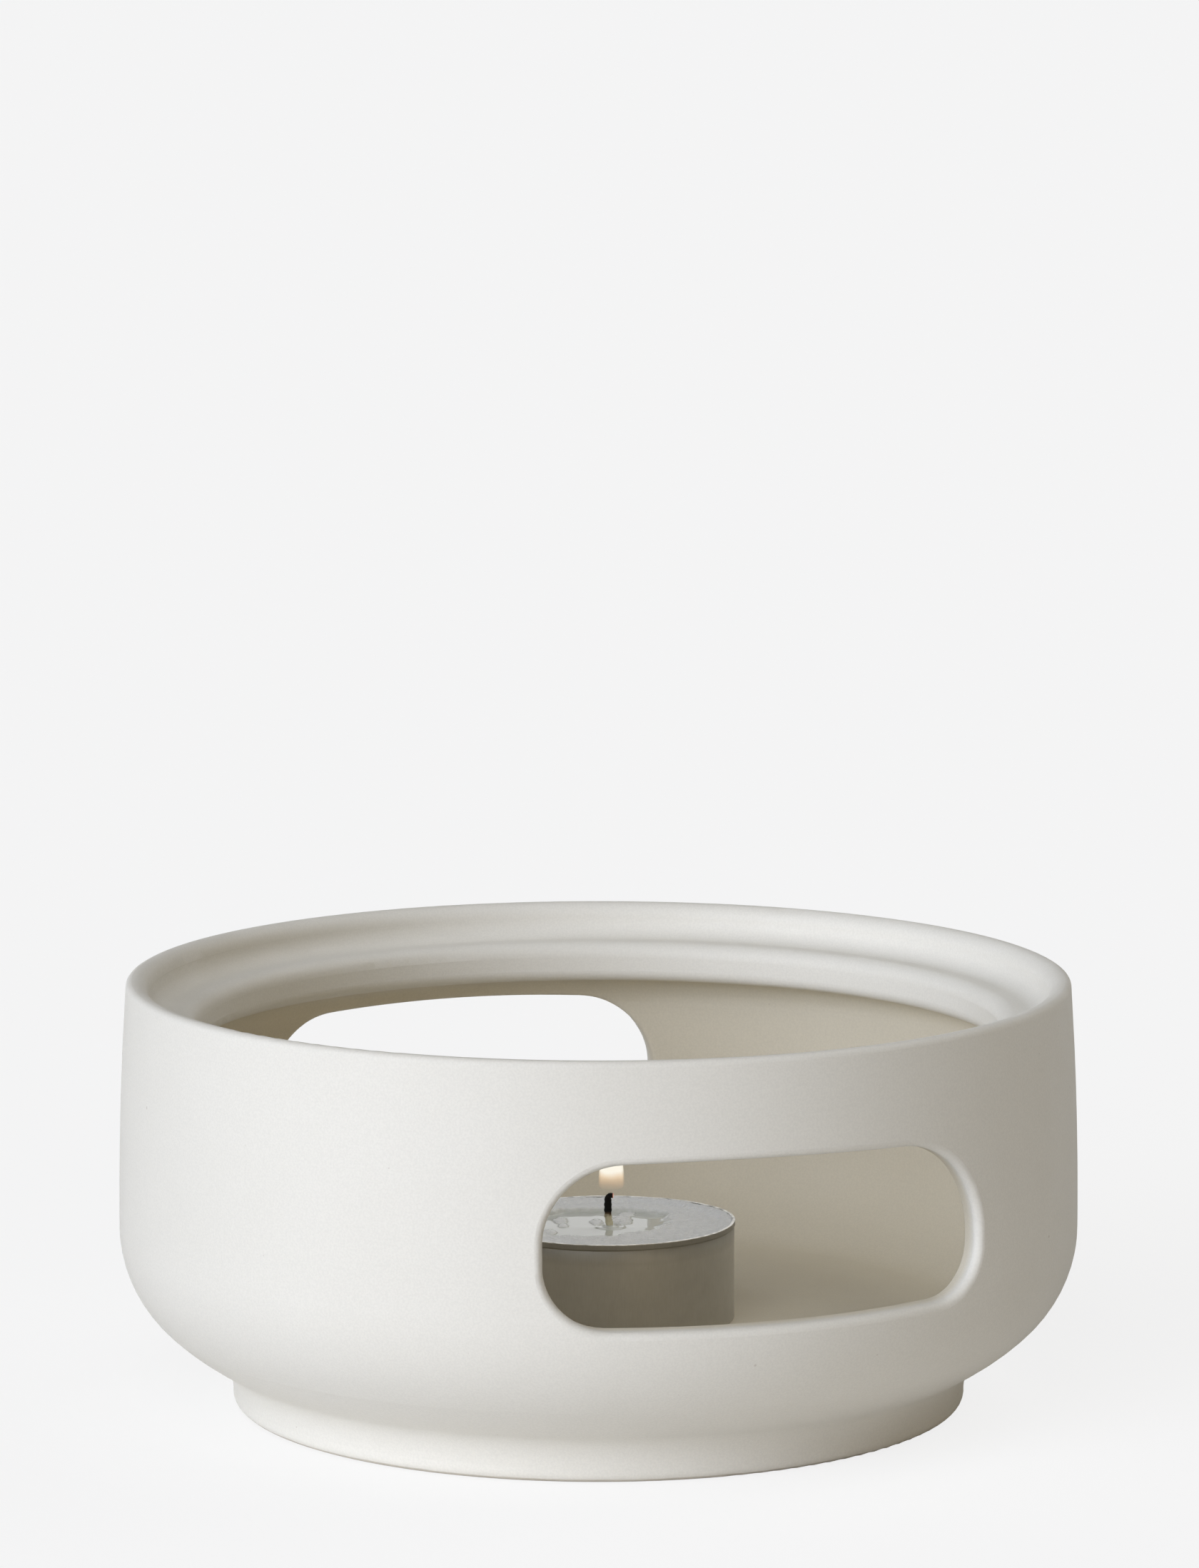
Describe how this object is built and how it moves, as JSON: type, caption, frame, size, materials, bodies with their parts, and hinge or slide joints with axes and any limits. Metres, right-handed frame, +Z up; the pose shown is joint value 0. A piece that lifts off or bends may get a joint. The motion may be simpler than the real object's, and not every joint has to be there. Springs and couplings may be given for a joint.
{
  "type": "teapot warmer",
  "caption": "Low round ceramic teapot warmer with a stepped rim seat, a recessed foot and opposite side slots, holding a tealight in a metal cup.",
  "frame": {"origin": "centre of the foot's underside, where the warmer stands on the table", "axes": "+Z up out of the mouth, the two slots open towards -Y and +Y"},
  "size_m": [0.145, 0.1446, 0.0647],
  "materials": {
    "warmer_ceramic": "matt off-white glaze",
    "cup_aluminium": "drawn, satin",
    "candle_wax": "translucent white wax",
    "holder_steel": "tin-plated",
    "wick_cotton": "charred cotton"
  },
  "bodies": {
    "root": {"warmer_body": "warmer_ceramic", "tealight_cup": "cup_aluminium", "tealight_wax": "candle_wax", "wick_holder": "holder_steel", "tealight_wick": "wick_cotton"}
  },
  "joints": []
}
